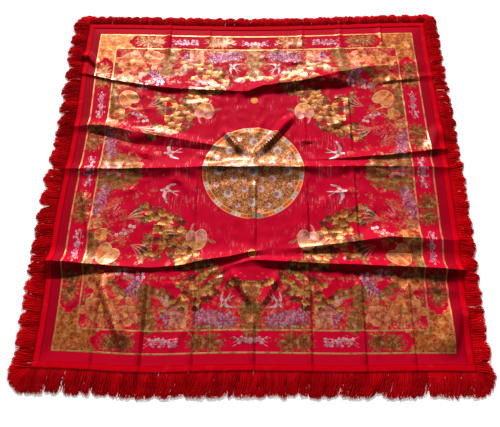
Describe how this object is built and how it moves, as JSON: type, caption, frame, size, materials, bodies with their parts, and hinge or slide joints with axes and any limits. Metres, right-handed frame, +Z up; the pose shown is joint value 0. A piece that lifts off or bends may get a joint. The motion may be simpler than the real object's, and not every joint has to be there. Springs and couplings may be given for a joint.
{
  "type": "fringed brocade wrapping cloth",
  "caption": "Square pojagi wrapping cloth of red brocaded satin, laid out flat with its storage folds, a tape sewn along its hem and a thick fringe all round.",
  "frame": {"origin": "middle of the cloth's footprint, fringe included, on the surface it lies on", "axes": "+Z up; +X to the right and +Y to the far edge as seen by a person standing at the near edge; the long folds run along X"},
  "size_m": [1.2142, 1.2122, 0.0262],
  "materials": {
    "satin": "red satin with a brocaded flower pattern in gold, orange, white and purple",
    "braid": "ribbed scarlet tape",
    "yarn": "soft scarlet yarn"
  },
  "bodies": {
    "root": {"cloth": "satin", "tape_near": "braid", "tape_right": "braid", "tape_far": "braid", "tape_left": "braid", "fringe_near": "yarn", "fringe_right": "yarn", "fringe_far": "yarn", "fringe_left": "yarn"}
  },
  "joints": []
}
